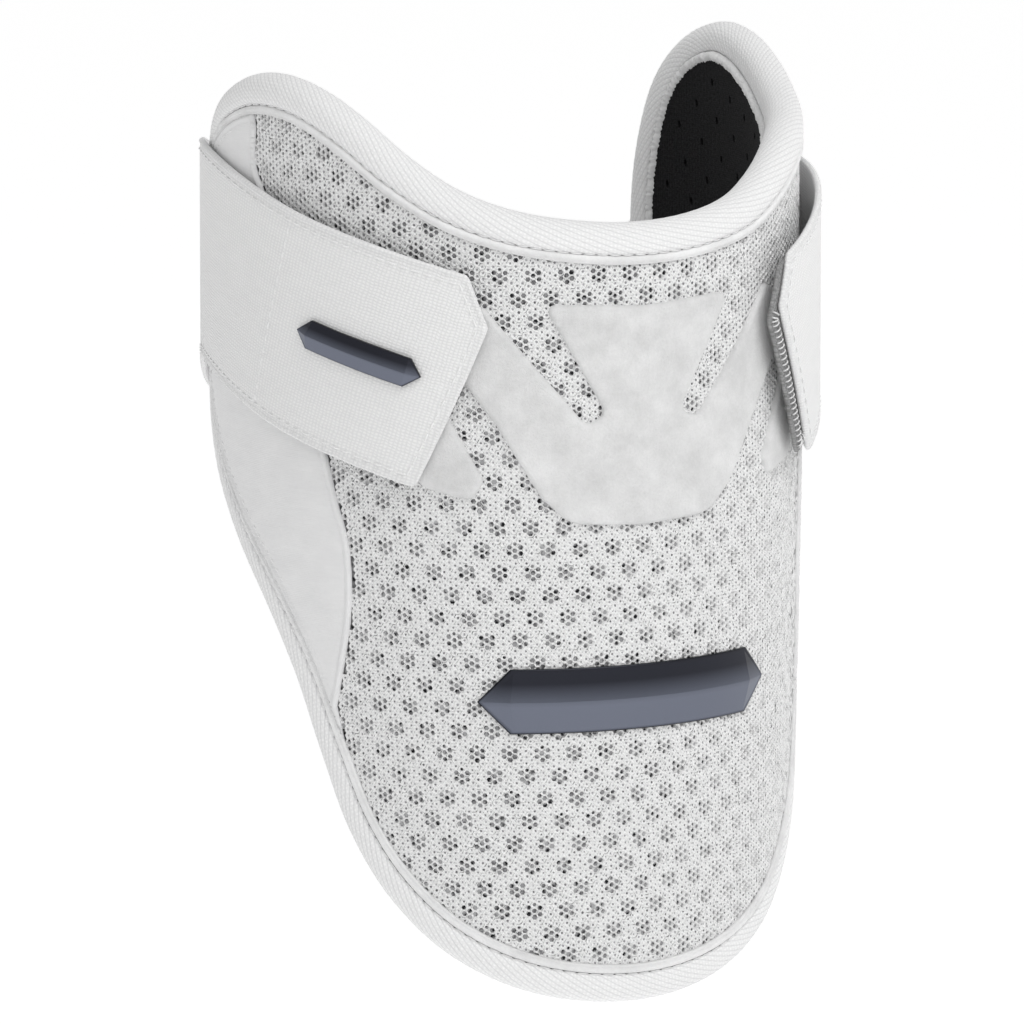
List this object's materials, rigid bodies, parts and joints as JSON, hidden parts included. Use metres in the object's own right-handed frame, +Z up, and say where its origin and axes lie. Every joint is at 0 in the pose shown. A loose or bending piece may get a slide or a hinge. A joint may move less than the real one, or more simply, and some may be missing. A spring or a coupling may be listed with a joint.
{
  "type": "batter's elbow guard",
  "caption": "Padded shell bent round the arm, with a taped edge, an inner liner and an elastic strap whose ends hook onto a loop patch on the front.",
  "frame": {"origin": "on the arm's axis, at mid height of the guard", "axes": "+Z up along the arm towards the two lobes, -Y the front of the guard, +X to the right seen from the front"},
  "size_m": [0.1436, 0.13, 0.2137],
  "materials": {
    "mesh_white": "open knitted mesh over foam",
    "tape_white": "ribbed binding tape",
    "fleece_white": "brushed loop pile",
    "panel_white": "smooth matt fabric",
    "strap_white": "woven elastic",
    "liner_black": "perforated matt foam cloth",
    "hook_grey": "hook tape",
    "badge_slate": "satin metallic slate"
  },
  "bodies": {
    "root": {"binding": "tape_white", "front_badge": "badge_slate", "hook_tab_left": "hook_grey", "hook_tab_right": "hook_grey", "liner": "liner_black", "liner_edging": "fleece_white", "loop_patch": "fleece_white", "piping": "tape_white", "shell": "mesh_white", "side_panel_left": "panel_white", "side_panel_right": "panel_white", "strap": "strap_white", "strap_badge": "badge_slate"}
  },
  "joints": []
}
